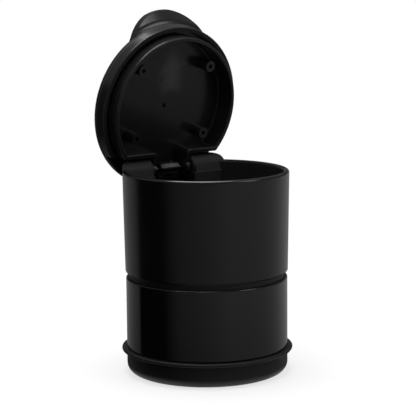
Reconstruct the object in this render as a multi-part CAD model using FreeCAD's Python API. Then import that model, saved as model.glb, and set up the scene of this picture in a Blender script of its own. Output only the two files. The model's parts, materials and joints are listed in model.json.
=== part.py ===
"""Cup-holder ashtray for a car: two-part cup on a rubber boot, with a sprung hinged lid standing open.

Millimetres, +Z up, origin at the centre of the boot's underside, lid hinge at +Y, thumb tab at -Y when shut.
"""
import FreeCAD, Part
import math
import os

V = FreeCAD.Vector
X_AXIS = V(1, 0, 0)
Z_AXIS = V(0, 0, 1)
ORIGIN = V(0, 0, 0)

# Driving dimensions
RIM_RADIUS = 35.0
RIM_HEIGHT = 85.7
OPEN_ANGLE = 79.4

# Cup sizes
CUP_WALL = 2.4
SLEEVE_TAPER = 0.7
SPLIT_HEIGHT = 43.1
GROOVE_HEIGHT = 2.4
GROOVE_DEPTH = 1.2
LOWER_STEP = 0.2
LOWER_WALL = 2.2
LOWER_FLOOR = 2.2
WELL_CORNER = 4.4
NECK_HEIGHT = 11.0
EDGE_ROUND = 0.6
NEARLY_ROUND = 0.98

# Boot sizes
BOOT_TOP = 10.9
BOOT_WALL = 2.2
BOOT_FLOOR = 2.0
BOOT_EDGE = 4.0
LIP_REACH = 2.1
LIP_THICKNESS = 1.5

# Hinge sizes
HINGE_INSET = 8.7
AXIS_DROP = 2.0
EAR_RADIUS = 5.1
EAR_END_ROUND = 1.6
SLOT_HALF = 10.4
SLOT_EDGE = 1.2
EAR_SLOPE = 10.0
BLOCK_STEP = 0.8
BLOCK_EDGE = 0.3
LEDGE_DROP = 2.2
BLOCK_DEPTH = 14.0
BLOCK_WALL = 2.2
HINGE_WALL = 1.8
RELIEF_DEPTH = 12.5
PIN_RADIUS = 1.0
PIN_GRIP = 4.6
PIN_RECESS = 1.0
PIN_CHAMFER = 0.25

# Lid sizes, with the lid shut
SKIRT_DEPTH = 4.3
SKIRT_EDGE = 0.6
LID_FLOOR_ROUND = 0.6
LID_WALL = 1.8
LID_HEIGHT = 7.1
LID_PLATE = 2.2
LID_FLARE = 0.8
LID_EDGE_ROUND = 1.8
CHORD_GAP = 1.3
CHORD_CORNER = 2.0
CHORD_EDGE = 0.5
ARM_THICKNESS = 1.8
KNUCKLE_RADIUS = 3.3
COVER_WALL = 1.2
COVER_END_ANGLE = 5.0
POST_FROM_SIDE = 11.9
POST_FROM_FRONT = 12.2
POST_FROM_CHORD = 6.1
POST_RADIUS = 2.35
POST_HOLE_RADIUS = 0.95
POST_HOLE_FLOOR = 1.0
POST_SHORTFALL = 2.4
TAB_OUTLINE_RADIUS = 22.3
TAB_REACH = 4.3
TAB_RISE = 5.4
TAB_THICKNESS = 1.7
TAB_ROOT = 6.8
TAB_UNDER_ROUND = 4.0
TAB_TOP_ROUND = 5.0
TAB_TRIM = 0.7

# Spring sizes
WIRE_RADIUS = 0.35
COIL_RADIUS = 2.3
COIL_TURNS = 11
COIL_PITCH = 0.85
FIXED_LEG_DROP = 6.5
LID_LEG_REACH = 4.5

# Clearances
PUSH_FIT = 0.04
RUNNING_FIT = 0.05
LID_GAP = 0.3
SKIRT_GAP = 1.0
SWING_GAP = 0.45
RELIEF_GAP = 1.05

# Derived places
AXIS_Y = RIM_RADIUS - HINGE_INSET
AXIS_Z = RIM_HEIGHT - AXIS_DROP
AXIS = V(0, AXIS_Y, AXIS_Z)
SLEEVE_LOWER_RADIUS = RIM_RADIUS - SLEEVE_TAPER
SLEEVE_LOWER_INNER = SLEEVE_LOWER_RADIUS - CUP_WALL
LOWER_RADIUS = SLEEVE_LOWER_RADIUS - LOWER_STEP
LOWER_TOP = SPLIT_HEIGHT - GROOVE_HEIGHT
SPIGOT_RADIUS = LOWER_RADIUS - BOOT_WALL - PUSH_FIT
SKIRT_RADIUS = RIM_RADIUS - CUP_WALL - SKIRT_GAP
SKIRT_INNER = SKIRT_RADIUS - LID_WALL
SKIRT_BOTTOM = RIM_HEIGHT - SKIRT_DEPTH
SEAT = RIM_HEIGHT + LID_GAP
LID_TOP = RIM_HEIGHT + LID_HEIGHT
LID_CEILING = LID_TOP - LID_PLATE
LID_RADIUS = RIM_RADIUS + LID_FLARE
LID_SIDE_INNER = RIM_RADIUS - LID_WALL
CHORD_Y = AXIS_Y - EAR_RADIUS - CHORD_GAP
ARM_OUTER = SLOT_HALF - SWING_GAP
ARM_INNER = ARM_OUTER - ARM_THICKNESS
EAR_TOP = AXIS_Z + EAR_RADIUS
BLOCK_FRONT = AXIS_Y - EAR_RADIUS - BLOCK_STEP
BLOCK_TOP = AXIS_Z - LEDGE_DROP
BLOCK_BOTTOM = RIM_HEIGHT - BLOCK_DEPTH
NOTCH_TOP = EAR_TOP + SWING_GAP
FLAT_Y = AXIS_Y + LID_CEILING - AXIS_Z - RELIEF_GAP
HINGE_WALL_TOP = AXIS_Z - KNUCKLE_RADIUS - SWING_GAP
COIL_LENGTH = COIL_TURNS * COIL_PITCH
FAR = 3 * RIM_RADIUS


def rounded_face(corners, place):
    """A face from (a, b, radius) corners, each rounded by its radius, laid out by place(a, b)."""
    edges = []
    ends = []
    for index, (a, b, radius) in enumerate(corners):
        here = V(a, b, 0)
        before = V(*corners[index - 1][:2], 0) - here
        after = V(*corners[(index + 1) % len(corners)][:2], 0) - here
        if radius == 0:
            ends.append((here, here))
            continue
        before.normalize()
        after.normalize()
        half = before.getAngle(after) / 2
        middle = before + after
        middle.normalize()
        reach = radius / math.tan(half)
        depth = radius / math.sin(half) - radius
        ends.append((here + before * reach, here + after * reach))
        edges.append((ends[-1][0], here + middle * depth, ends[-1][1]))
    shapes = []
    for start, crown, end in edges:
        shapes.append(Part.Arc(*(place(p.x, p.y) for p in (start, crown, end))).toShape())
    for index, (_, leave) in enumerate(ends):
        following = ends[(index + 1) % len(ends)][0]
        if leave.distanceToPoint(following) > 1e-6:
            shapes.append(Part.makeLine(place(leave.x, leave.y), place(following.x, following.y)))
    return Part.Face(Part.Wire(Part.__sortEdges__(shapes)))


def spun(corners):
    """A solid of revolution about Z from (radius, height, rounding) corners."""
    return rounded_face(corners, lambda r, z: V(r, 0, z)).revolve(ORIGIN, Z_AXIS, 360)


def side_prism(corners, x0, x1):
    """A prism along X from (y, z, rounding) corners."""
    return rounded_face(corners, lambda y, z: V(x0, y, z)).extrude(V(x1 - x0, 0, 0))


def box(x0, x1, y0, y1, z0, z1):
    return Part.makeBox(x1 - x0, y1 - y0, z1 - z0, V(x0, y0, z0))


def axis_rod(radius, x0, x1):
    """A cylinder on the hinge axis."""
    return Part.makeCylinder(radius, x1 - x0, V(x0, AXIS_Y, AXIS_Z), X_AXIS)


def both_sides(shape):
    return shape.fuse(shape.mirror(ORIGIN, X_AXIS))


def sleeve_radius(z):
    """The sleeve's outer radius, which tapers from the rim to the split and runs on above the rim."""
    slope = (RIM_RADIUS - SLEEVE_LOWER_RADIUS) / (RIM_HEIGHT - SPLIT_HEIGHT)
    return RIM_RADIUS + slope * (z - RIM_HEIGHT)


def sleeve():
    round_over = NEARLY_ROUND * CUP_WALL / 2
    return spun([
        (SLEEVE_LOWER_RADIUS, SPLIT_HEIGHT, EDGE_ROUND),
        (RIM_RADIUS, RIM_HEIGHT, round_over),
        (RIM_RADIUS - CUP_WALL, RIM_HEIGHT, round_over),
        (SLEEVE_LOWER_INNER, SPLIT_HEIGHT, 0),
    ])


def ear():
    """The right-hand hinge ear: a barrel on the axis over a hollow block that runs back to the wall."""
    wall_middle = RIM_RADIUS - CUP_WALL / 2
    envelope = spun([
        (0, BLOCK_BOTTOM, 0),
        (wall_middle, BLOCK_BOTTOM, 0),
        (wall_middle, AXIS_Z, 0),
        (sleeve_radius(AXIS_Z), AXIS_Z, 0),
        (sleeve_radius(EAR_TOP), EAR_TOP, EAR_END_ROUND),
        (0, EAR_TOP, 0),
    ])
    barrel = rounded_face([
        (SLOT_HALF, 0, 0), (SLOT_HALF, EAR_RADIUS, SLOT_EDGE), (RIM_RADIUS, EAR_RADIUS, 0), (RIM_RADIUS, 0, 0),
    ], lambda x, r: AXIS + V(x, r, 0)).revolve(AXIS, X_AXIS, 360)
    block = rounded_face([
        (SLOT_HALF, BLOCK_FRONT, SLOT_EDGE), (RIM_RADIUS, BLOCK_FRONT, 0),
        (RIM_RADIUS, RIM_RADIUS, 0), (SLOT_HALF, RIM_RADIUS, 0),
    ], lambda x, y: V(x, y, BLOCK_BOTTOM)).extrude(V(0, 0, BLOCK_TOP - BLOCK_BOTTOM))
    ledge = [edge for edge in block.Edges
             if edge.BoundBox.ZMin > BLOCK_TOP - BLOCK_EDGE and edge.BoundBox.YMax < BLOCK_FRONT + 2 * SLOT_EDGE]
    block = block.makeFillet(BLOCK_EDGE, ledge)
    slope = math.radians(EAR_SLOPE)
    top = V(0, -math.cos(slope), math.sin(slope)) * EAR_RADIUS
    run = (top.z + LEDGE_DROP) * math.tan(slope)
    flank = rounded_face([
        (AXIS_Y + top.y, AXIS_Z + top.z, 0), (AXIS_Y + top.y - run, BLOCK_TOP, 0),
        (AXIS_Y, BLOCK_TOP, 0), (AXIS_Y, AXIS_Z + top.z, 0),
    ], lambda y, z: V(SLOT_HALF + SLOT_EDGE, y, z)).extrude(V(RIM_RADIUS, 0, 0))
    hollow = box(SLOT_HALF + BLOCK_WALL, RIM_RADIUS, BLOCK_FRONT + BLOCK_WALL, RIM_RADIUS,
                 BLOCK_BOTTOM, AXIS_Z - EAR_RADIUS + BLOCK_WALL)
    return block.fuse([barrel, flank]).cut(hollow).common(envelope)


def hinge_wall():
    """The flat wall that closes the slot behind the hinge, low enough for the lid's arms to pass over."""
    half = SLOT_HALF + BLOCK_WALL
    return box(-half, half, FLAT_Y - HINGE_WALL, FLAT_Y, BLOCK_BOTTOM, HINGE_WALL_TOP)


def upper_body():
    slot = box(-SLOT_HALF, SLOT_HALF, BLOCK_FRONT, FAR, HINGE_WALL_TOP, FAR)
    relief_bottom = RIM_HEIGHT - RELIEF_DEPTH
    relief = side_prism([
        (FLAT_Y, FAR, 0), (FLAT_Y, relief_bottom, 0),
        (FLAT_Y + FAR, relief_bottom - FAR, 0), (FLAT_Y + FAR, FAR, 0),
    ], -RIM_RADIUS, RIM_RADIUS)
    body = sleeve().fuse([both_sides(ear()), hinge_wall()]).cut([slot, relief])
    bore = axis_rod(PIN_RADIUS + PUSH_FIT, -SLOT_HALF - PIN_GRIP, RIM_RADIUS)
    return body.cut(bore).removeSplitter()


def lower_body():
    neck_radius = SLEEVE_LOWER_INNER - PUSH_FIT
    inner = SPIGOT_RADIUS - LOWER_WALL
    floor = BOOT_FLOOR + LOWER_FLOOR
    return spun([
        (0, BOOT_FLOOR, 0),
        (SPIGOT_RADIUS, BOOT_FLOOR, EDGE_ROUND),
        (SPIGOT_RADIUS, BOOT_TOP, 0),
        (LOWER_RADIUS, BOOT_TOP, EDGE_ROUND),
        (LOWER_RADIUS, LOWER_TOP, EDGE_ROUND),
        (LOWER_RADIUS - GROOVE_DEPTH, LOWER_TOP, 0),
        (LOWER_RADIUS - GROOVE_DEPTH, SPLIT_HEIGHT, 0),
        (neck_radius, SPLIT_HEIGHT, 0),
        (neck_radius, SPLIT_HEIGHT + NECK_HEIGHT, EDGE_ROUND),
        (inner, SPLIT_HEIGHT + NECK_HEIGHT, EDGE_ROUND),
        (inner, floor, WELL_CORNER),
        (0, floor, 0),
    ])


def base_boot():
    lip_radius = LOWER_RADIUS + LIP_REACH
    lip_round = NEARLY_ROUND * LIP_THICKNESS / 2
    return spun([
        (0, 0, 0),
        (LOWER_RADIUS, 0, BOOT_EDGE),
        (LOWER_RADIUS, BOOT_TOP - LIP_THICKNESS, EDGE_ROUND),
        (lip_radius, BOOT_TOP - LIP_THICKNESS, lip_round),
        (lip_radius, BOOT_TOP, lip_round),
        (LOWER_RADIUS - BOOT_WALL, BOOT_TOP, 0),
        (LOWER_RADIUS - BOOT_WALL, BOOT_FLOOR, 0),
        (0, BOOT_FLOOR, 0),
    ])


def lid_shell():
    """The round cap with its skirt and the channel between skirt and side wall."""
    return spun([
        (0, LID_CEILING, 0),
        (SKIRT_INNER, LID_CEILING, LID_FLOOR_ROUND),
        (SKIRT_INNER, SKIRT_BOTTOM, SKIRT_EDGE),
        (SKIRT_RADIUS, SKIRT_BOTTOM, SKIRT_EDGE),
        (SKIRT_RADIUS, LID_CEILING, 0),
        (LID_SIDE_INNER, LID_CEILING, 0),
        (LID_SIDE_INNER, SEAT, 0),
        (RIM_RADIUS, SEAT, EDGE_ROUND),
        (LID_RADIUS, LID_TOP, LID_EDGE_ROUND),
        (0, LID_TOP, 0),
    ])


def hinge_notch():
    """The room behind the chord wall that the ears fill when the lid is shut."""
    behind = box(-FAR, FAR, CHORD_Y, FAR, 0, FAR)
    inside = Part.makeCylinder(LID_SIDE_INNER, LID_CEILING, ORIGIN, Z_AXIS).common(behind)
    return inside.fuse(box(-FAR, FAR, CHORD_Y, FAR, 0, NOTCH_TOP))


def chord_wall():
    """The straight wall across the back of the lid's recess, rounded where it turns into an arm."""
    inner_y = CHORD_Y - LID_WALL
    wall = rounded_face([
        (ARM_INNER, inner_y, CHORD_CORNER), (FAR, inner_y, 0), (FAR, CHORD_Y, 0), (ARM_OUTER, CHORD_Y, 0),
        (ARM_OUTER, CHORD_Y + CHORD_CORNER, 0), (ARM_INNER, CHORD_Y + CHORD_CORNER, 0),
    ], lambda x, y: V(x, y, SKIRT_BOTTOM)).extrude(V(0, 0, LID_CEILING - SKIRT_BOTTOM))
    brink = [edge for edge in wall.Edges
             if edge.BoundBox.ZMax < SKIRT_BOTTOM + CHORD_EDGE and edge.BoundBox.YMax < CHORD_Y + CHORD_EDGE
             and edge.BoundBox.YMin < CHORD_Y - CHORD_EDGE and edge.BoundBox.XMin < FAR - CHORD_EDGE]
    wall = wall.makeFillet(CHORD_EDGE, brink)
    return wall.common(Part.makeCylinder(SKIRT_RADIUS - LID_WALL / 2, FAR, ORIGIN, Z_AXIS))


def arm():
    """A hinge arm from the chord wall to its knuckle on the axis."""
    plate = side_prism([
        (CHORD_Y, SKIRT_BOTTOM, 0), (AXIS_Y, SKIRT_BOTTOM, 0),
        (AXIS_Y + KNUCKLE_RADIUS, AXIS_Z, 0), (AXIS_Y + KNUCKLE_RADIUS, LID_CEILING, 0), (CHORD_Y, LID_CEILING, 0),
    ], ARM_INNER, ARM_OUTER)
    return plate.fuse(axis_rod(KNUCKLE_RADIUS, ARM_INNER, ARM_OUTER))


def spring_cover():
    """The curved wall behind the spring, stopping short of the left arm to let the spring's fixed leg by."""
    start = math.radians(COVER_END_ANGLE)
    slit_edge = 2 * WIRE_RADIUS - COIL_LENGTH / 2
    ring = axis_rod(EAR_RADIUS, slit_edge, ARM_OUTER).cut(axis_rod(EAR_RADIUS - COVER_WALL, -FAR, FAR))
    direction = V(0, math.cos(start), math.sin(start))
    wedge = Part.Face(Part.makePolygon([
        V(-FAR, AXIS_Y, AXIS_Z), AXIS + direction * FAR - X_AXIS * FAR,
        V(-FAR, AXIS_Y + FAR, AXIS_Z + FAR), V(-FAR, AXIS_Y, AXIS_Z + FAR), V(-FAR, AXIS_Y, AXIS_Z),
    ])).extrude(V(2 * FAR, 0, 0))
    rib = box(slit_edge, ARM_OUTER, AXIS_Y, AXIS_Y + COVER_WALL, EAR_TOP - COVER_WALL / 2, LID_CEILING)
    return ring.common(wedge).fuse(rib)


def post(x, y):
    top = SKIRT_BOTTOM + POST_SHORTFALL
    tube = Part.makeCylinder(POST_RADIUS, LID_CEILING - top, V(x, y, top), Z_AXIS)
    hole = Part.makeCylinder(POST_HOLE_RADIUS, LID_CEILING - top - POST_HOLE_FLOOR, V(x, y, top), Z_AXIS)
    return tube.cut(hole)


def thumb_tab():
    """The flared tongue at the front: a turned lip trimmed to a round outline."""
    tip = LID_RADIUS + TAB_REACH
    crest = LID_TOP + TAB_RISE
    outline_centre = V(0, TAB_OUTLINE_RADIUS - tip, 0)
    root = LID_RADIUS - TAB_ROOT
    edge = tip + TAB_TRIM
    flare = spun([
        (root, LID_TOP - TAB_THICKNESS, 0),
        (LID_RADIUS - TAB_THICKNESS, LID_TOP - TAB_THICKNESS, 0),
        (LID_RADIUS - LID_FLARE / 3, LID_CEILING, TAB_UNDER_ROUND),
        (edge, crest, 0),
        (edge - TAB_THICKNESS, crest, 0),
        (LID_RADIUS - TAB_THICKNESS, LID_TOP, TAB_TOP_ROUND),
        (root, LID_TOP, 0),
    ])
    outline = Part.makeCylinder(TAB_OUTLINE_RADIUS, FAR, outline_centre, Z_AXIS)
    front = box(-FAR, FAR, -FAR, -RIM_RADIUS / 2, 0, FAR)
    return flare.common(outline).common(front)


def lid():
    post_x = SKIRT_INNER - POST_FROM_SIDE
    post_rows = (POST_FROM_FRONT - SKIRT_INNER, CHORD_Y - LID_WALL - POST_FROM_CHORD)
    posts = [post(side * post_x, row) for side in (-1, 1) for row in post_rows]
    shell = lid_shell().cut(hinge_notch())
    shell = shell.fuse([both_sides(chord_wall()), both_sides(arm()), spring_cover(), thumb_tab()] + posts)
    shell = shell.cut(axis_rod(PIN_RADIUS + RUNNING_FIT, -FAR, FAR)).removeSplitter()
    shell.rotate(AXIS, X_AXIS, -OPEN_ANGLE)
    return shell


def hinge_pin():
    end = math.sqrt(RIM_RADIUS ** 2 - AXIS_Y ** 2) - PIN_RECESS
    start = -SLOT_HALF - PIN_GRIP
    pin = axis_rod(PIN_RADIUS, start, end)
    return pin.makeChamfer(PIN_CHAMFER, [edge for edge in pin.Edges if edge.Curve.TypeId == "Part::GeomCircle"])


def leg_angles(y, z):
    """The bearing of a leg's end at (y, z) from the axis, and how far from it the leg leaves the coil."""
    return math.degrees(math.atan2(z, y)), math.degrees(math.acos(COIL_RADIUS / math.hypot(y, z)))


def torsion_spring():
    """A close coil on the pin, with one leg on the hinge wall and one under the lid's plate."""
    touch = WIRE_RADIUS + RUNNING_FIT
    fixed_end = (FLAT_Y - HINGE_WALL - touch - AXIS_Y, -FIXED_LEG_DROP)
    lid_end = (-LID_LEG_REACH, LID_CEILING - touch - AXIS_Z)
    toward, spread = leg_angles(*fixed_end)
    start_angle = toward + spread
    toward, spread = leg_angles(*lid_end)
    end_angle = toward - spread - OPEN_ANGLE
    sweep = COIL_TURNS * 360 + end_angle - start_angle
    helix = Part.makeHelix(COIL_PITCH, COIL_PITCH * sweep / 360, COIL_RADIUS)
    helix.Placement = FreeCAD.Placement(AXIS - X_AXIS * COIL_LENGTH / 2, FreeCAD.Rotation(V(1, 1, 1), 120))
    helix.rotate(AXIS, X_AXIS, start_angle)
    coil = helix.Edges
    first, last = coil[0], coil[-1]
    start, start_run = first.valueAt(first.FirstParameter), first.tangentAt(first.FirstParameter)
    end, end_run = last.valueAt(last.LastParameter), last.tangentAt(last.LastParameter)
    fixed_length = math.sqrt(fixed_end[0] ** 2 + fixed_end[1] ** 2 - COIL_RADIUS ** 2)
    lid_length = math.sqrt(lid_end[0] ** 2 + lid_end[1] ** 2 - COIL_RADIUS ** 2)
    tail = start - start_run * fixed_length
    path = Part.Wire([Part.makeLine(tail, start)] + coil + [Part.makeLine(end, end + end_run * lid_length)])
    section = Part.Wire(Part.makeCircle(WIRE_RADIUS, tail, start_run))
    return path.makePipeShell([section], True, True)


PIECES = {
    "upper_body": upper_body,
    "lower_body": lower_body,
    "base_boot": base_boot,
    "lid": lid,
    "hinge_pin": hinge_pin,
    "torsion_spring": torsion_spring,
}

os.makedirs("parts", exist_ok=True)
for name, make in PIECES.items():
    make().exportStep(f"parts/{name}.step")
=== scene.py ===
"""Finishes, spring and stage for a cup-holder car ashtray with its lid standing open.

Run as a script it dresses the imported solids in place. Every length is in metres, in the frame of the solids.
"""

import json
import math

import bmesh
import bpy
from mathutils import Matrix, Vector


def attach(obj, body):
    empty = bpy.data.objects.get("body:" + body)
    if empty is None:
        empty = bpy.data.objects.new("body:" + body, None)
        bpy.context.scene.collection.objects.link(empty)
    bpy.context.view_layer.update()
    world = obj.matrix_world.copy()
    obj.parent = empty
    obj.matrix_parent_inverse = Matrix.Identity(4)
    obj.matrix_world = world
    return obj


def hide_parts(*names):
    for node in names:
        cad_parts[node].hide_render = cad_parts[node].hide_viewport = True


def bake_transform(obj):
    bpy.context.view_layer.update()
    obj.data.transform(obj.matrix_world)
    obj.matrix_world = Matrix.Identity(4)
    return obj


bl_info = {
    "name": "Car Ashtray",
    "version": (1, 0, 0),
    "blender": (4, 5, 0),
    "location": "3D View > Sidebar > Ashtray",
    "description": "Dresses the solids of a cup-holder ashtray and sets its stage",
    "category": "Object",
}

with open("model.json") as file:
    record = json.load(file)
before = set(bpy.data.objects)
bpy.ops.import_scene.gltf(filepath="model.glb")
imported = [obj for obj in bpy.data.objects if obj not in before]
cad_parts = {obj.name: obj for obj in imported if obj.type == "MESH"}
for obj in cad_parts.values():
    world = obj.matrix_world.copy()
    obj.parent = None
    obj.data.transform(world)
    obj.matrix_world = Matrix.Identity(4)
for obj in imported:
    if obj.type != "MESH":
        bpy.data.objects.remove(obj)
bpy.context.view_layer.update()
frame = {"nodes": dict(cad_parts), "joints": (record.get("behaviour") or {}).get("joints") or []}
HINGE = frame["joints"][0]
AXIS = Vector(HINGE["pos_m"])
OPEN_TURN = math.radians(HINGE["range_deg"][1])
LID_OUTWARD = Vector((0.0, math.sin(OPEN_TURN), math.cos(OPEN_TURN)))
LID_MIDDLE = AXIS + Matrix.Rotation(-OPEN_TURN, 3, "X") @ Vector((0.0, -AXIS.y, 0.0))

# Where the finish changes on a moulding: each pair is the start and the end of the change.
NECK_FOOT = (0.0404, 0.0410)
SLEEVE_BORE = (0.0330, 0.0338)
EAR_FRONT = (0.0185, 0.0200)
EAR_BACK = (0.0305, 0.0312)
# The share of the sleeve's paling, core-side haze and painted light, that the ears keep.
EAR_HAZE_AND_LIGHT = 0.1
LID_UNDERSIDE = (-0.0076, -0.0070)

# The dull places of the lid: rises are above the hinge axis, and radii from the lid's middle.
CORNER_RISE = 0.0065
CORNER_REACH = 0.00028
CORNER_INNER_RADIUS = 0.0288
SEAT_RISE = 0.0023
SEAT_REACH = 0.0002
SEAT_INNER_RADIUS = 0.0327
DULL_FADE = 0.0001

# Painted light: a cloudy pale pool painted high on the lid's inner floor, and the share of its colour that the
# rest of the underside keeps, partly core-side haze and partly painted light.
PAINTED_LIGHT_CENTRE = Vector((0.0025, 0.0258, 0.1245))
PAINTED_LIGHT_STRETCH = (1.0, 0.0, 0.75)
PAINTED_LIGHT_WAVER = 0.009
PAINTED_LIGHT_EDGE = (0.0060, 0.0135)
HAZE_AND_LIGHT_SHARE = 0.15

# Mottling: the place of each stop, and its share of the piece's own colour.
PLASTIC_MOTTLE = ((0.3, 0.78), (0.7, 1.22))
PLASTIC_POLISH = (0.3, 0.7)
STEEL_MOTTLE = ((0.25, 0.7), (0.75, 1.2))
STEEL_POLISH = (0.0, 1.0)
STEEL_SPREAD = 0.03

COIL_STEPS = 40
LEG_STEPS = 6
WIRE_SIDES = 12
WIRE_DOME = 0.6

# The gate mark from its foot to its tip, in shares of its radius and its height.
GATE_MARK_PROFILE = (
    (1.0, -0.2), (1.0, 0.08), (0.9, 0.16), (0.75, 0.16), (0.66, 0.08), (0.6, 0.1),
    (0.5, 0.4), (0.36, 0.8), (0.22, 0.96), (0.12, 1.0),
)
GATE_MARK_SIDES = 32

WHITE = (1.0, 1.0, 1.0)
PAPER_SHADES = ((0.0, 0.31), (1.0, 0.34))
FLOOR_SIDES = 128
SHEET_DROP = 0.00005
FRAME_WIDTH = 36.0

ROOM_SIDES = 96
ROOM_WELL_RADIUS = 0.25
CLOTH_HEIGHT = 1.1
CLOTH_RADIUS = 1.2
CLOTH_HOLE_RADIUS = 0.02

# The tone of the studio walls by bearing in degrees, and the share of it that is left at each height.
WALL_GREY = (1.0, 1.0, 1.03)
WALL_TONES = (
    (-180, 0.30), (-130, 0.24), (-112, 0.20), (-107, 0.0), (-62, 0.0), (-39, 0.17),
    (0, 0.26), (35, 0.40), (100, 0.37), (130, 0.42), (157, 0.36), (180, 0.30),
)
WALL_HEIGHTS = (
    (-0.80, 0.55), (-0.74, 0.0), (-0.68, 0.0), (-0.30, 1.0),
    (0.02, 1.0), (0.25, 0.45), (0.45, 0.15), (0.70, 0.10),
)

OVERHEAD_BOX = {"size": 0.5, "place": (-0.03, 0.06, 0.80), "aim": (0.0, 0.0, 0.08)}
KEY_BOX = {"size": 0.35, "place": (0.35, -0.65, 0.60), "aim": (0.0, 0.02, 0.11)}


class AshtrayFinishes(bpy.types.PropertyGroup):
    """Colours and polish of the plastics, the rubber and the steel"""
    satin_colour: bpy.props.FloatVectorProperty(
        name="Satin colour", description="Base colour of the sleeve and the lid",
        subtype="COLOR", size=3, min=0.0, max=1.0, default=(0.0032, 0.0033, 0.0036))
    satin_roughness: bpy.props.FloatProperty(
        name="Satin roughness", description="Mean roughness of the sleeve and the lid",
        subtype="FACTOR", min=0.0, max=1.0, default=0.22)
    # Painted light: this colour pales the sleeve's inner face, partly as the haze of the mould's core side and
    # partly standing in for light falling inside the cup.
    bore_haze_and_painted_light: bpy.props.FloatVectorProperty(
        name="Bore haze", description="Colour added on the duller inner face of the sleeve",
        subtype="COLOR", size=3, min=0.0, max=1.0, default=(0.0112, 0.0112, 0.0116))
    ear_dullness: bpy.props.FloatProperty(
        name="Ear dullness", description="Roughness added on the hinge ears",
        subtype="FACTOR", min=0.0, max=0.6, default=0.40)
    lid_dullness: bpy.props.FloatProperty(
        name="Lid dullness",
        description="Roughness added in the floor's corner and on the seat of the lid",
        subtype="FACTOR", min=0.0, max=0.7, default=0.6)
    # Painted light: this colour paints a pale pool of light high on the lid's inner floor, and a share of it
    # pales the rest of the underside.
    floor_painted_light: bpy.props.FloatVectorProperty(
        name="Floor bloom", description="Colour added where the lid's inner floor is palest",
        subtype="COLOR", size=3, min=0.0, max=1.0, default=(0.0380, 0.0380, 0.0392))
    gloss_colour: bpy.props.FloatVectorProperty(
        name="Gloss colour", description="Base colour of the lower cup and the gate mark",
        subtype="COLOR", size=3, min=0.0, max=1.0, default=(0.0023, 0.0023, 0.0025))
    gloss_roughness: bpy.props.FloatProperty(
        name="Gloss roughness", description="Mean roughness of the lower cup",
        subtype="FACTOR", min=0.0, max=1.0, default=0.09)
    neck_dullness: bpy.props.FloatProperty(
        name="Neck dullness", description="Roughness added on the neck in the groove",
        subtype="FACTOR", min=0.0, max=0.8, default=0.45)
    rubber_colour: bpy.props.FloatVectorProperty(
        name="Rubber colour", description="Base colour of the boot",
        subtype="COLOR", size=3, min=0.0, max=1.0, default=(0.0030, 0.0030, 0.0033))
    rubber_roughness: bpy.props.FloatProperty(
        name="Rubber roughness", description="Mean roughness of the boot",
        subtype="FACTOR", min=0.0, max=1.0, default=0.55)
    steel_colour: bpy.props.FloatVectorProperty(
        name="Steel colour", description="Base colour of the pin and the spring",
        subtype="COLOR", size=3, min=0.0, max=1.0, default=(0.20, 0.20, 0.205))
    steel_roughness: bpy.props.FloatProperty(
        name="Steel roughness", description="Mean roughness of the pin and the spring",
        subtype="FACTOR", min=0.0, max=1.0, default=0.07)


class AshtraySpring(bpy.types.PropertyGroup):
    """Sizes of the spring that throws the lid open"""
    wire_radius: bpy.props.FloatProperty(
        name="Wire radius", description="Half the thickness of the spring's wire",
        subtype="DISTANCE", unit="LENGTH", min=0.0001, default=0.00035, precision=5)
    coil_radius: bpy.props.FloatProperty(
        name="Coil radius", description="From the hinge axis to the middle of the wire",
        subtype="DISTANCE", unit="LENGTH", min=0.0005, default=0.0023, precision=5)
    pitch: bpy.props.FloatProperty(
        name="Pitch", description="From one turn to the next",
        subtype="DISTANCE", unit="LENGTH", min=0.0002, default=0.00085, precision=5)
    turns: bpy.props.IntProperty(
        name="Turns", description="Whole turns of the coil", min=1, default=11)
    fixed_leg_drop: bpy.props.FloatProperty(
        name="Fixed leg drop", description="How far the leg on the hinge wall reaches below the axis",
        subtype="DISTANCE", unit="LENGTH", default=0.0065, precision=5)
    fixed_leg_back: bpy.props.FloatProperty(
        name="Fixed leg setback", description="How far the end of the fixed leg is behind the axis",
        subtype="DISTANCE", unit="LENGTH", default=0.00365, precision=5)
    lid_leg_reach: bpy.props.FloatProperty(
        name="Lid leg reach",
        description="How far the leg under the shut lid reaches to the front of the axis",
        subtype="DISTANCE", unit="LENGTH", default=0.00202, precision=5)
    lid_leg_rise: bpy.props.FloatProperty(
        name="Lid leg rise",
        description="How far the end of the lid's leg is above the axis with the lid shut",
        subtype="DISTANCE", unit="LENGTH", default=0.00454, precision=5)


class AshtrayGateMark(bpy.types.PropertyGroup):
    """Sizes of the mark where the plastic entered the lid's mould"""
    radius: bpy.props.FloatProperty(
        name="Radius", description="Radius of the ring round the mark",
        subtype="DISTANCE", unit="LENGTH", min=0.0001, default=0.0010, precision=5)
    height: bpy.props.FloatProperty(
        name="Height", description="Height of the stub in the middle of the mark",
        subtype="DISTANCE", unit="LENGTH", min=0.00005, default=0.0009, precision=5)
    floor_rise: bpy.props.FloatProperty(
        name="Floor rise",
        description="From the hinge axis up to the lid's inner floor with the lid shut",
        subtype="DISTANCE", unit="LENGTH", default=0.0069, precision=5)


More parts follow.
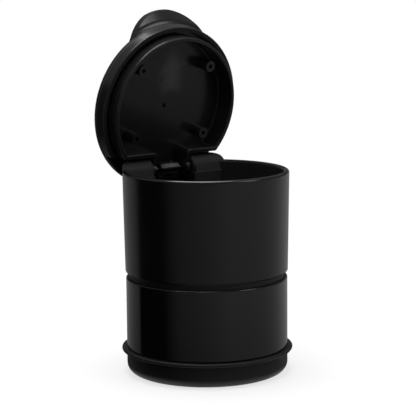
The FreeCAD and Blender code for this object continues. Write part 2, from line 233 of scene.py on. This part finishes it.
class AshtrayStage(bpy.types.PropertyGroup):
    """Floor, studio, lights and camera"""
    card_radius: bpy.props.FloatProperty(
        name="Card radius", description="From the cup's middle to the edge of the card it stands on",
        subtype="DISTANCE", unit="LENGTH", default=0.0362)
    sheet_radius: bpy.props.FloatProperty(
        name="Sheet radius",
        description="From the cup's middle to the edge of the white sheet under the card",
        subtype="DISTANCE", unit="LENGTH", default=0.35)
    floor_glow: bpy.props.FloatProperty(
        name="Floor glow", description="Share of the floor's white that doesn't take a shadow",
        subtype="FACTOR", min=0.0, max=1.0, default=0.68)
    room_radius: bpy.props.FloatProperty(
        name="Room radius", description="From the cup's middle to the studio walls",
        subtype="DISTANCE", unit="LENGTH", default=1.6)
    room_top: bpy.props.FloatProperty(
        name="Wall top", description="Height of the studio walls above the floor",
        subtype="DISTANCE", unit="LENGTH", default=0.7)
    room_bottom: bpy.props.FloatProperty(
        name="Wall bottom", description="Depth of the studio floor below the table",
        subtype="DISTANCE", unit="LENGTH", default=0.8)
    sky_level: bpy.props.FloatProperty(
        name="Fill level", description="Strength of the even light from above",
        min=0.0, default=0.75)
    ceiling_level: bpy.props.FloatProperty(
        name="Ceiling level", description="Brightness of the cloth above the cup where it is mirrored",
        min=0.0, default=0.25)
    overhead_power: bpy.props.FloatProperty(
        name="Overhead power", description="Power of the soft box above the cup",
        subtype="POWER", unit="POWER", default=5.5)
    key_power: bpy.props.FloatProperty(
        name="Key power", description="Power of the soft box to the front right",
        subtype="POWER", unit="POWER", default=1.1)
    lens: bpy.props.FloatProperty(
        name="Lens", description="Focal length of the camera on a 36 mm frame",
        subtype="DISTANCE_CAMERA", unit="CAMERA", default=144.1)
    camera_azimuth: bpy.props.FloatProperty(
        name="Azimuth", description="Turn of the camera about the cup",
        subtype="ANGLE", unit="ROTATION", default=-0.6786)
    camera_elevation: bpy.props.FloatProperty(
        name="Elevation", description="Rise of the camera above the horizon",
        subtype="ANGLE", unit="ROTATION", default=0.1595)
    camera_roll: bpy.props.FloatProperty(
        name="Roll", description="Tilt of the camera about its own line of sight",
        subtype="ANGLE", unit="ROTATION", default=-0.0086)
    camera_distance: bpy.props.FloatProperty(
        name="Distance", description="From the camera to its target",
        subtype="DISTANCE", unit="LENGTH", default=0.700)
    camera_target: bpy.props.FloatVectorProperty(
        name="Target", description="The point in the middle of the picture",
        subtype="XYZ", unit="LENGTH", size=3, default=(0.000606, -0.000489, 0.06938))


def add_node(tree, kind, spot, **settings):
    """A node of that kind at a spot in the tree, with attributes and input values set by name."""
    node = tree.nodes.new(kind)
    node.location = spot
    for name, value in settings.items():
        if name in node.inputs:
            node.inputs[name].default_value = value
        else:
            setattr(node, name, value)
    return node


def feed(tree, node, values):
    """Fills a node's inputs in order: an output is linked, and a number or vector is set."""
    for slot, value in zip(node.inputs, values):
        if isinstance(value, bpy.types.NodeSocket):
            tree.links.new(value, slot)
        else:
            slot.default_value = value


def maths(tree, operation, spot, *values, **settings):
    """The output of a node that works on numbers."""
    node = add_node(tree, "ShaderNodeMath", spot, operation=operation, **settings)
    feed(tree, node, values)
    return node.outputs["Value"]


def vector_maths(tree, operation, spot, *values):
    """The output of a node that works on vectors: a number for a length or a dot product."""
    node = add_node(tree, "ShaderNodeVectorMath", spot, operation=operation)
    feed(tree, node, values)
    return node.outputs["Value" if operation in ("LENGTH", "DOT_PRODUCT") else "Vector"]


def graded(tree, value, limits, spot, ends=(0.0, 1.0), curve="LINEAR"):
    """Goes from the first end to the second as the value goes from the first limit to the second."""
    grade = add_node(tree, "ShaderNodeMapRange", spot, interpolation_type=curve)
    feed(tree, grade, (value, *limits, *ends))
    return grade.outputs["Result"]


def coordinate(tree, place, letter, spot):
    """One coordinate of each point."""
    split = add_node(tree, "ShaderNodeSeparateXYZ", spot)
    tree.links.new(place, split.inputs["Vector"])
    return split.outputs[letter]


def shaded_ramp(tree, value, colour, stops, spot):
    """A ramp through shades of one colour: each stop is its place and its share of the colour."""
    node = add_node(tree, "ShaderNodeValToRGB", spot)
    elements = node.color_ramp.elements
    while len(elements) < len(stops):
        elements.new(0.5)
    for element, (position, share) in zip(elements, stops):
        element.position = position
        element.color = (*[share * part for part in colour], 1.0)
    tree.links.new(value, node.inputs["Fac"])
    return node.outputs["Color"]


def noise(tree, place, spot, **settings):
    """The level of a noise texture at each point."""
    node = add_node(tree, "ShaderNodeTexNoise", spot, **settings)
    if place:
        tree.links.new(place, node.inputs["Vector"])
    return node.outputs["Fac"]


def drawn_out(tree, place, scale, spot):
    """The points with their texture stretched by a scale along each axis."""
    mapping = add_node(tree, "ShaderNodeMapping", spot, Scale=scale)
    tree.links.new(place, mapping.inputs["Vector"])
    return mapping.outputs["Vector"]


def empty_material(name):
    """A material whose node tree is still bare, and that tree."""
    material = bpy.data.materials.new(name)
    material.use_nodes = True
    material.node_tree.nodes.clear()
    return material, material.node_tree


def set_surface(tree, shader, spot):
    """Makes a shader the surface of its material."""
    out = add_node(tree, "ShaderNodeOutputMaterial", spot)
    tree.links.new(shader, out.inputs["Surface"])


def set_skin(tree, colour, roughness, height, relief, **settings):
    """The surface of a solid piece from its colour, roughness and the height of its texture."""
    bump = add_node(tree, "ShaderNodeBump", (-480, -220), **relief)
    skin = add_node(tree, "ShaderNodeBsdfPrincipled", (-200, 100), **settings)
    tree.links.new(height, bump.inputs["Height"])
    tree.links.new(colour, skin.inputs["Base Color"])
    tree.links.new(roughness, skin.inputs["Roughness"])
    tree.links.new(bump.outputs["Normal"], skin.inputs["Normal"])
    set_surface(tree, skin.outputs["BSDF"], (120, 100))


def moulded_finish(name, colour, roughness, spread, grain, depth, streak,
                   shine=0.5, core_haze_and_light=None, dull=None):
    """A moulded plastic or rubber: mottled colour, uneven polish and a fine grain.

    Spread is how far the roughness strays, grain the size of the texture, depth its height
    and streak how much the uneven polish is drawn out along the height of the piece.
    Shine is the strength of the mirror image, 0.5 for a clean hard plastic.
    The paler inner faces, if given, are a function that adds the nodes telling them from
    the outer ones, and the colour added there: partly the haze of the mould's core side and partly
    painted light, standing in for light falling on those faces. Dull, if given, is a like function for
    the faces without polish, and the roughness added there.
    """
    material, tree = empty_material(name)
    place = add_node(tree, "ShaderNodeTexCoord", (-1100, 0)).outputs["Object"]
    drawn = drawn_out(tree, place, (1.0, 1.0, 1.0 / streak), (-900, 150))
    cloud = noise(tree, drawn, (-700, 150), Scale=110.0, Detail=5.0, Roughness=0.55)
    tint = shaded_ramp(tree, cloud, colour, PLASTIC_MOTTLE, (-480, 320))
    polish = graded(tree, cloud, PLASTIC_POLISH, (-480, 60), ends=(roughness - spread, roughness + spread))
    texture = noise(tree, place, (-700, -220), Scale=1.0 / grain, Detail=3.0, Roughness=0.6)
    # Painted light: the paler inner faces get added colour, partly core-side haze and partly standing in for
    # light falling on them.
    if core_haze_and_light:
        inner_faces, haze_and_light = core_haze_and_light
        paler = add_node(tree, "ShaderNodeMixRGB", (-360, 480), blend_type="ADD")
        feed(tree, paler, (inner_faces(tree, place), tint, (*haze_and_light, 1.0)))
        tint = paler.outputs["Color"]
    if dull:
        dull_faces, added = dull
        polish = maths(tree, "MULTIPLY_ADD", (-340, -60), dull_faces(tree, place), added, polish)
    set_skin(tree, tint, polish, texture, {"Strength": 1.0, "Distance": depth},
             IOR=1.5, **{"Specular IOR Level": shine})
    return material


def in_groove(tree, place):
    """1 on the neck above the lower cup's edge, 0 below it."""
    height = coordinate(tree, place, "Z", (-900, -520))
    return graded(tree, height, NECK_FOOT, (-740, -460))


def on_ears(tree, place):
    """1 on the ears and their blocks, 0 on the rest of the sleeve."""
    depth = coordinate(tree, place, "Y", (-900, -520))
    behind = graded(tree, depth, EAR_FRONT, (-740, -460))
    before = graded(tree, depth, EAR_BACK, (-740, -720), ends=(1.0, 0.0))
    return maths(tree, "MULTIPLY", (-560, -560), behind, before)


def inside_sleeve(tree, place):
    """1 on the inner face of the sleeve, less on the ears and 0 outside: where colour pales the sleeve, partly
    as core-side haze and partly as painted light inside the cup.
    """
    level = vector_maths(tree, "MULTIPLY", (-900, 620), place, (1.0, 1.0, 0.0))
    radius = vector_maths(tree, "LENGTH", (-740, 620), level)
    inner = graded(tree, radius, SLEEVE_BORE, (-580, 620), ends=(1.0, 0.0))
    depth = coordinate(tree, place, "Y", (-740, 820))
    front = graded(tree, depth, EAR_FRONT, (-580, 820), ends=(1.0, EAR_HAZE_AND_LIGHT))
    return maths(tree, "MULTIPLY", (-400, 700), inner, front)


def below_axis(tree, place, spot):
    """How far each point is below the hinge axis when the lid is shut."""
    from_axis = vector_maths(tree, "SUBTRACT", spot, place, AXIS)
    return vector_maths(tree, "DOT_PRODUCT", (spot[0] + 160, spot[1]), from_axis, -LID_OUTWARD)


def near_rise(tree, depth, rise, reach, spot):
    """1 within reach of a rise above the hinge axis, and soon 0 beyond."""
    shifted = maths(tree, "ADD", spot, depth, rise)
    away = maths(tree, "ABSOLUTE", (spot[0] + 160, spot[1]), shifted)
    return graded(tree, away, (reach, reach + DULL_FADE), (spot[0] + 320, spot[1]), ends=(1.0, 0.0))


def from_lid_middle(tree, place, spot):
    """How far each point is from the line through the middle of the lid."""
    offset = vector_maths(tree, "SUBTRACT", spot, place, LID_MIDDLE)
    along = vector_maths(tree, "PROJECT", (spot[0] + 160, spot[1] - 120), offset, LID_OUTWARD)
    across = vector_maths(tree, "SUBTRACT", (spot[0] + 320, spot[1]), offset, along)
    return vector_maths(tree, "LENGTH", (spot[0] + 480, spot[1]), across)


def outside_of(tree, value, limit, mask, spot):
    """The mask where the value is over the limit, 0 below."""
    over = maths(tree, "GREATER_THAN", spot, value, limit)
    return maths(tree, "MULTIPLY", (spot[0] + 160, spot[1]), over, mask)


def lid_seat(tree, depth, radius, spot):
    """1 on the lid's face that seats on the rim, 0 elsewhere."""
    level = near_rise(tree, depth, SEAT_RISE, SEAT_REACH, spot)
    return outside_of(tree, radius, SEAT_INNER_RADIUS, level, (spot[0] + 500, spot[1]))


def dull_on_lid(tree, place):
    """1 in the corner round the lid's inner floor and on its seat, 0 elsewhere."""
    depth = below_axis(tree, place, (-1300, -620))
    radius = from_lid_middle(tree, place, (-1300, -1020))
    level = near_rise(tree, depth, CORNER_RISE, CORNER_REACH, (-940, -620))
    corner = outside_of(tree, radius, CORNER_INNER_RADIUS, level, (-440, -620))
    seat = lid_seat(tree, depth, radius, (-940, -820))
    return maths(tree, "MAXIMUM", (-100, -700), corner, seat)


def under_lid(tree, place):
    """The paling under the lid: a painted pool of light high on the inner floor, and a little all over but on
    the seat, partly core-side haze and partly painted light.
    """
    depth = below_axis(tree, place, (-900, 620))
    inner = graded(tree, depth, LID_UNDERSIDE, (-580, 620))
    radius = from_lid_middle(tree, place, (-1700, 420))
    seat = lid_seat(tree, depth, radius, (-1160, 420))
    paled_underside = maths(tree, "SUBTRACT", (-420, 560), inner, seat, use_clamp=True)
    # Painted light: a cloudy pale pool centred high on the inner floor.
    from_painted_pool = vector_maths(tree, "SUBTRACT", (-1060, 820), place, PAINTED_LIGHT_CENTRE)
    stretched = vector_maths(tree, "MULTIPLY", (-900, 820), from_painted_pool, PAINTED_LIGHT_STRETCH)
    away = vector_maths(tree, "LENGTH", (-740, 820), stretched)
    waver = noise(tree, place, (-900, 1020), Scale=190.0, Detail=3.0)
    cloudy = maths(tree, "MULTIPLY_ADD", (-580, 920), waver, PAINTED_LIGHT_WAVER, away)
    painted_pool = graded(tree, cloudy, PAINTED_LIGHT_EDGE, (-420, 820), ends=(1.0, HAZE_AND_LIGHT_SHARE), curve="SMOOTHSTEP")
    return maths(tree, "MULTIPLY", (-260, 700), paled_underside, painted_pool)


def satin_plastic(name, inner_faces, haze_and_light, dull):
    """The satin plastic of the sleeve and the lid, with its paled faces, partly haze and partly painted light,
    and its dull faces.
    """
    finishes = bpy.context.scene.ashtray_finishes
    return moulded_finish(name, finishes.satin_colour, finishes.satin_roughness, spread=0.02,
                          grain=0.00035, depth=0.0000014, streak=3.0, core_haze_and_light=(inner_faces, haze_and_light), dull=dull)


def drawn_steel():
    """Bright drawn wire: a metal with fine lines along the axis of the hinge and uneven polish."""
    name = "drawn_spring_steel"
    if name in bpy.data.materials:
        return bpy.data.materials[name]
    finishes = bpy.context.scene.ashtray_finishes
    roughness = finishes.steel_roughness
    material, tree = empty_material(name)
    place = add_node(tree, "ShaderNodeTexCoord", (-1100, 0)).outputs["Object"]
    drawn = drawn_out(tree, place, (0.15, 1.0, 1.0), (-900, 0))
    lines = noise(tree, drawn, (-700, 0), Scale=6000.0, Detail=4.0, Roughness=0.6)
    tint = shaded_ramp(tree, lines, finishes.steel_colour, STEEL_MOTTLE, (-480, 220))
    polish = graded(tree, lines, STEEL_POLISH, (-480, -40),
                    ends=(roughness - STEEL_SPREAD, roughness + STEEL_SPREAD))
    set_skin(tree, tint, polish, lines, {"Strength": 0.4, "Distance": 0.000004}, Metallic=1.0)
    return material


def dress(node, material):
    """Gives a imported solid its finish."""
    if node not in frame["nodes"]:
        raise RuntimeError(f"the packed model has no {node}")
    solid = frame["nodes"][node]
    solid.data.materials.clear()
    solid.data.materials.append(material)


def mesh_object(name, shape, material):
    """An object from a finished bmesh, shaded smooth."""
    mesh = bpy.data.meshes.new(name)
    shape.normal_update()
    shape.to_mesh(mesh)
    shape.free()
    mesh.polygons.foreach_set("use_smooth", [True] * len(mesh.polygons))
    mesh.materials.append(material)
    piece = bpy.data.objects.new(name, mesh)
    bpy.context.scene.collection.objects.link(piece)
    return piece


def skin_rings(shape, rings):
    """Faces from each ring of points to the next."""
    for first, second in zip(rings, rings[1:]):
        sides = len(first)
        for step in range(sides):
            after = (step + 1) % sides
            shape.faces.new((first[step], first[after], second[after], second[step]))


def turned_shape(profile, sides):
    """A skin turned about Z through pairs of radius and height, and its rings of points."""
    shape = bmesh.new()
    rings = []
    for radius, height in profile:
        ring = []
        for step in range(sides):
            angle = 2 * math.pi * step / sides
            ring.append(shape.verts.new((radius * math.cos(angle), radius * math.sin(angle), height)))
        rings.append(ring)
    skin_rings(shape, rings)
    return shape, rings


def wire_shape(points, radius):
    """A round wire through the points, with domed ends."""
    shape = bmesh.new()
    rings = []
    across = Vector((1.0, 0.0, 0.0))
    for index, point in enumerate(points):
        ahead = points[min(index + 1, len(points) - 1)]
        behind = points[max(index - 1, 0)]
        run = (ahead - behind).normalized()
        across = (across - run * across.dot(run)).normalized()
        side = run.cross(across)
        ring = []
        for step in range(WIRE_SIDES):
            angle = 2 * math.pi * step / WIRE_SIDES
            offset = across * (radius * math.cos(angle)) + side * (radius * math.sin(angle))
            ring.append(shape.verts.new(point + offset))
        rings.append(ring)
    skin_rings(shape, rings)
    for ring, tip in ((rings[0], points[0] - points[1]), (rings[-1], points[-1] - points[-2])):
        middle = sum((vert.co for vert in ring), Vector()) / WIRE_SIDES
        crown = shape.verts.new(middle + tip.normalized() * radius * WIRE_DOME)
        for step in range(WIRE_SIDES):
            shape.faces.new((ring[step], ring[(step + 1) % WIRE_SIDES], crown))
    bmesh.ops.recalc_face_normals(shape, faces=shape.faces)
    return shape


def spring_path(spring):
    """Points along the wire: up the fixed leg, round the coil and out along the lid's leg."""
    radius = spring.coil_radius
    fixed_end = (spring.fixed_leg_back, -spring.fixed_leg_drop)
    lid_end = (-spring.lid_leg_reach, spring.lid_leg_rise)
    fixed_reach = math.hypot(*fixed_end)
    lid_reach = math.hypot(*lid_end)
    start = math.atan2(fixed_end[1], fixed_end[0]) + math.acos(radius / fixed_reach)
    finish = math.atan2(lid_end[1], lid_end[0]) - math.acos(radius / lid_reach) - OPEN_TURN
    sweep = 2 * math.pi * spring.turns + finish - start
    left = -spring.pitch * spring.turns / 2
    count = COIL_STEPS * spring.turns
    coil = []
    for step in range(count + 1):
        turn = sweep * step / count
        angle = start + turn
        along = left + spring.pitch * turn / (2 * math.pi)
        coil.append(AXIS + Vector((along, radius * math.cos(angle), radius * math.sin(angle))))
    first_run = Vector((0.0, math.sin(start), -math.cos(start)))
    last_run = Vector((0.0, -math.sin(start + sweep), math.cos(start + sweep)))
    fixed_step = math.sqrt(fixed_reach ** 2 - radius ** 2) / LEG_STEPS
    lid_step = math.sqrt(lid_reach ** 2 - radius ** 2) / LEG_STEPS
    fixed_leg = [coil[0] + first_run * (fixed_step * step) for step in range(LEG_STEPS, 0, -1)]
    lid_leg = [coil[-1] + last_run * (lid_step * step) for step in range(1, LEG_STEPS + 1)]
    return fixed_leg + coil + lid_leg


def gate_mark_shape(mark):
    """A shallow ring round a torn stub, turned about Z with the lid's floor at zero."""
    profile = [(mark.radius * across, mark.height * up) for across, up in GATE_MARK_PROFILE]
    shape, rings = turned_shape(profile, GATE_MARK_SIDES)
    shape.faces.new(rings[-1])
    return shape


class ASHTRAY_OT_sleeve(bpy.types.Operator):
    """Give the cup's upper sleeve with its hinge ears the satin finish"""
    bl_idname = "ashtray.sleeve"
    bl_label = "Sleeve"
    bl_options = {"REGISTER", "UNDO"}

    def execute(self, context):
        finishes = context.scene.ashtray_finishes
        # The sleeve's inner face is paled by added colour: core-side haze and painted light inside the cup.
        dress("upper_body", satin_plastic("satin_sleeve_plastic", inside_sleeve, finishes.bore_haze_and_painted_light,
                                          dull=(on_ears, finishes.ear_dullness)))
        return {"FINISHED"}


class ASHTRAY_OT_lower_cup(bpy.types.Operator):
    """Give the lower cup its polished finish"""
    bl_idname = "ashtray.lower_cup"
    bl_label = "Lower cup"
    bl_options = {"REGISTER", "UNDO"}

    def execute(self, context):
        finishes = context.scene.ashtray_finishes
        dress("lower_body", moulded_finish(
            "gloss_black_plastic", finishes.gloss_colour, finishes.gloss_roughness,
            spread=0.015, grain=0.0009, depth=0.0000008, streak=2.0,
            dull=(in_groove, finishes.neck_dullness)))
        return {"FINISHED"}


class ASHTRAY_OT_boot(bpy.types.Operator):
    """Give the boot its dull rubber finish"""
    bl_idname = "ashtray.boot"
    bl_label = "Boot"
    bl_options = {"REGISTER", "UNDO"}

    def execute(self, context):
        finishes = context.scene.ashtray_finishes
        dress("base_boot", moulded_finish(
            "boot_rubber", finishes.rubber_colour, finishes.rubber_roughness,
            spread=0.05, grain=0.00025, depth=0.000006, streak=1.0, shine=0.42))
        return {"FINISHED"}


class ASHTRAY_OT_lid(bpy.types.Operator):
    """Give the lid with its thumb tab the satin finish, and set the gate mark on its inner floor"""
    bl_idname = "ashtray.lid"
    bl_label = "Lid"
    bl_options = {"REGISTER", "UNDO"}

    def execute(self, context):
        finishes = context.scene.ashtray_finishes
        # The lid's underside is paled by added colour: a painted pool of light high on its floor, fainter
        # elsewhere.
        dress("lid", satin_plastic("satin_lid_plastic", under_lid, finishes.floor_painted_light,
                                   dull=(dull_on_lid, finishes.lid_dullness)))
        mark = context.scene.ashtray_gate_mark
        torn = moulded_finish("torn_gate_plastic", finishes.gloss_colour, roughness=0.65,
                              spread=0.05, grain=0.0002, depth=0.00001, streak=1.0, shine=0.2)
        nub = mesh_object("lid_gate_mark", gate_mark_shape(mark), torn)
        shut = Matrix.Translation((0.0, -AXIS.y, mark.floor_rise)) @ Matrix.Rotation(math.pi, 4, "X")
        nub.data.transform(Matrix.Translation(AXIS) @ Matrix.Rotation(-OPEN_TURN, 4, "X") @ shut)
        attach(nub, "lid")
        return {"FINISHED"}


class ASHTRAY_OT_hinge(bpy.types.Operator):
    """Finish the hinge pin and wind the spring round it, in place of the packed spring"""
    bl_idname = "ashtray.hinge"
    bl_label = "Hinge pin and spring"
    bl_options = {"REGISTER", "UNDO"}

    def execute(self, context):
        dress("hinge_pin", drawn_steel())
        spring = context.scene.ashtray_spring
        shape = wire_shape(spring_path(spring), spring.wire_radius)
        wound = mesh_object("lid_spring", shape, drawn_steel())
        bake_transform(wound)
        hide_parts("torsion_spring")
        return {"FINISHED"}


def seen_white(tree, spot):
    """1 for rays that show the surround itself: seen, mirrored or through something clear."""
    path = add_node(tree, "ShaderNodeLightPath", (spot[0] - 400, spot[1])).outputs
    either = maths(tree, "MAXIMUM", (spot[0] - 200, spot[1]), path["Is Camera Ray"], path["Is Glossy Ray"])
    return maths(tree, "MAXIMUM", spot, either, path["Is Transmission Ray"])


def camera_axes(stage):
    """The camera's right, up and backward directions."""
    azimuth, elevation = stage.camera_azimuth, stage.camera_elevation
    back = Vector((math.sin(azimuth) * math.cos(elevation),
                   -math.cos(azimuth) * math.cos(elevation), math.sin(elevation)))
    level = Vector((math.cos(azimuth), math.sin(azimuth), 0.0))
    rise = back.cross(level)
    right = level * math.cos(stage.camera_roll) + rise * math.sin(stage.camera_roll)
    up = rise * math.cos(stage.camera_roll) - level * math.sin(stage.camera_roll)
    return right, up, back


def add_camera(stage):
    """The camera at the photograph's viewing angle."""
    right, up, back = camera_axes(stage)
    lens = bpy.data.cameras.new("photo_camera")
    lens.sensor_width = FRAME_WIDTH
    lens.lens = stage.lens
    lens.clip_start = 0.01
    lens.clip_end = 20.0
    camera = bpy.data.objects.new("photo_camera", lens)
    turn = Matrix((right, up, back)).transposed().to_4x4()
    stand = Vector(stage.camera_target) + back * stage.camera_distance
    camera.matrix_world = Matrix.Translation(stand) @ turn
    bpy.context.scene.collection.objects.link(camera)
    bpy.context.scene.camera = camera


def floor_material(stage):
    """White card: part of its white is its own, and the rest takes the cup's shadow."""
    material, tree = empty_material("white_card")
    factor = seen_white(tree, (-400, 200))
    level = maths(tree, "MULTIPLY", (-200, 200), factor, stage.floor_glow)
    glow = add_node(tree, "ShaderNodeEmission", (-200, 0))
    fibre = noise(tree, None, (-700, -200), Scale=900.0, Detail=4.0)
    shade = shaded_ramp(tree, fibre, WHITE, PAPER_SHADES, (-480, -200))
    paper = add_node(tree, "ShaderNodeBsdfPrincipled", (-200, -200), Roughness=0.12, IOR=1.3)
    both = add_node(tree, "ShaderNodeAddShader", (50, 0))
    tree.links.new(level, glow.inputs["Strength"])
    tree.links.new(shade, paper.inputs["Base Color"])
    feed(tree, both, (glow.outputs["Emission"], paper.outputs["BSDF"]))
    set_surface(tree, both.outputs["Shader"], (250, 0))
    return material


def floor_disc(name, radius, material):
    """A flat disc about the cup's middle."""
    shape = bmesh.new()
    bmesh.ops.create_circle(shape, cap_ends=True, segments=FLOOR_SIDES, radius=radius)
    return mesh_object(name, shape, material)


def add_floor(stage):
    """A white card under the cup, on a wide white sheet that isn't mirrored."""
    material = floor_material(stage)
    card = floor_disc("floor_card", stage.card_radius, material)
    sheet = floor_disc("floor_sheet", stage.sheet_radius, material)
    sheet.location = (0.0, 0.0, -SHEET_DROP)
    sheet.visible_glossy = False


def wall_material(stage):
    """Studio walls whose tone changes round the room: dark to the left, paler to the right and behind."""
    material, tree = empty_material("studio_walls")
    place = add_node(tree, "ShaderNodeTexCoord", (-800, 0)).outputs["Object"]
    bearing = add_node(tree, "ShaderNodeTexGradient", (-600, 0), gradient_type="RADIAL")
    tree.links.new(place, bearing.inputs["Vector"])
    round_room = [(degrees / 360.0 + 0.5, tone) for degrees, tone in WALL_TONES]
    tones = shaded_ramp(tree, bearing.outputs["Color"], WALL_GREY, round_room, (-400, 0))
    height = coordinate(tree, place, "Z", (-800, -220))
    rise = graded(tree, height, (-stage.room_bottom, stage.room_top), (-600, -260))
    wall_height = stage.room_top + stage.room_bottom
    up_wall = [((level + stage.room_bottom) / wall_height, share) for level, share in WALL_HEIGHTS]
    fall = shaded_ramp(tree, rise, WALL_GREY, up_wall, (-400, -260))
    glow = add_node(tree, "ShaderNodeEmission", (-100, 0))
    tree.links.new(tones, glow.inputs["Color"])
    tree.links.new(fall, glow.inputs["Strength"])
    set_surface(tree, glow.outputs["Emission"], (100, 0))
    return material


def add_walls(stage):
    """The round wall and sunken floor of the studio, open at the top, that the cup mirrors."""
    shape, _ = turned_shape(((ROOM_WELL_RADIUS, -stage.room_bottom), (stage.room_radius, -stage.room_bottom),
                             (stage.room_radius, stage.room_top)), ROOM_SIDES)
    walls = mesh_object("studio_walls", shape, wall_material(stage))
    walls.rotation_euler = (0.0, 0.0, stage.camera_azimuth - math.pi / 2)
    walls.visible_camera = False
    walls.visible_shadow = False


def ceiling_material(stage):
    """An evenly lit cloth."""
    material, tree = empty_material("studio_ceiling")
    glow = add_node(tree, "ShaderNodeEmission", (-100, 0), Strength=stage.ceiling_level)
    set_surface(tree, glow.outputs["Emission"], (100, 0))
    return material


def add_ceiling(stage):
    """A grey cloth over the studio, seen only as a reflection."""
    shape, _ = turned_shape(((stage.room_radius, stage.room_top), (CLOTH_RADIUS, CLOTH_HEIGHT),
                             (CLOTH_HOLE_RADIUS, CLOTH_HEIGHT)), ROOM_SIDES)
    cloth = mesh_object("studio_ceiling", shape, ceiling_material(stage))
    cloth.visible_camera = False
    cloth.visible_diffuse = False
    cloth.visible_shadow = False


def add_light(name, power, size, place, aim):
    """A square soft box at a place, turned to what it lights."""
    lamp = bpy.data.lights.new(name, "AREA")
    lamp.energy = power
    lamp.shape = "RECTANGLE"
    lamp.size = size
    lamp.size_y = size
    light = bpy.data.objects.new(name, lamp)
    light.location = place
    light.rotation_euler = (Vector(aim) - Vector(place)).to_track_quat("-Z", "Y").to_euler()
    bpy.context.scene.collection.objects.link(light)


def add_world(stage):
    """White where the surround itself shows, and an even fill for everything else."""
    world = bpy.data.worlds.new("studio_fill")
    bpy.context.scene.world = world
    world.use_nodes = True
    tree = world.node_tree
    tree.nodes.clear()
    factor = seen_white(tree, (-400, 200))
    fill = add_node(tree, "ShaderNodeBackground", (-150, 50), Color=(*WHITE, 1.0), Strength=stage.sky_level)
    white = add_node(tree, "ShaderNodeBackground", (-150, -100), Color=(*WHITE, 1.0), Strength=1.0)
    mix = add_node(tree, "ShaderNodeMixShader", (80, 0))
    out = add_node(tree, "ShaderNodeOutputWorld", (280, 0))
    feed(tree, mix, (factor, fill.outputs["Background"], white.outputs["Background"]))
    tree.links.new(mix.outputs["Shader"], out.inputs["Surface"])


class ASHTRAY_OT_stage(bpy.types.Operator):
    """Set the camera, the floor, the studio walls and the lights"""
    bl_idname = "ashtray.stage"
    bl_label = "Stage"
    bl_options = {"REGISTER", "UNDO"}

    def execute(self, context):
        stage = context.scene.ashtray_stage
        context.scene.view_settings.view_transform = "Standard"
        add_camera(stage)
        add_floor(stage)
        add_walls(stage)
        add_ceiling(stage)
        add_world(stage)
        add_light("overhead_box", stage.overhead_power, **OVERHEAD_BOX)
        add_light("key_box", stage.key_power, **KEY_BOX)
        return {"FINISHED"}


class ASHTRAY_PT_panel(bpy.types.Panel):
    """The ashtray's pieces and stage"""
    bl_idname = "ASHTRAY_PT_panel"
    bl_label = "Car Ashtray"
    bl_space_type = "VIEW_3D"
    bl_region_type = "UI"
    bl_category = "Ashtray"

    def draw(self, context):
        for step in STEPS:
            self.layout.operator(step.bl_idname)


STEPS = (ASHTRAY_OT_sleeve, ASHTRAY_OT_lower_cup, ASHTRAY_OT_boot, ASHTRAY_OT_lid, ASHTRAY_OT_hinge,
         ASHTRAY_OT_stage)
CLASSES = (AshtrayFinishes, AshtraySpring, AshtrayGateMark, AshtrayStage, *STEPS, ASHTRAY_PT_panel)


def register():
    for cls in CLASSES:
        bpy.utils.register_class(cls)
    bpy.types.Scene.ashtray_finishes = bpy.props.PointerProperty(type=AshtrayFinishes)
    bpy.types.Scene.ashtray_spring = bpy.props.PointerProperty(type=AshtraySpring)
    bpy.types.Scene.ashtray_gate_mark = bpy.props.PointerProperty(type=AshtrayGateMark)
    bpy.types.Scene.ashtray_stage = bpy.props.PointerProperty(type=AshtrayStage)


def unregister():
    del bpy.types.Scene.ashtray_stage
    del bpy.types.Scene.ashtray_gate_mark
    del bpy.types.Scene.ashtray_spring
    del bpy.types.Scene.ashtray_finishes
    for cls in reversed(CLASSES):
        bpy.utils.unregister_class(cls)


def main():
    register()
    bpy.ops.ashtray.sleeve()
    bpy.ops.ashtray.lower_cup()
    bpy.ops.ashtray.boot()
    bpy.ops.ashtray.lid()
    bpy.ops.ashtray.hinge()
    bpy.ops.ashtray.stage()


if __name__ == "__main__":
    main()
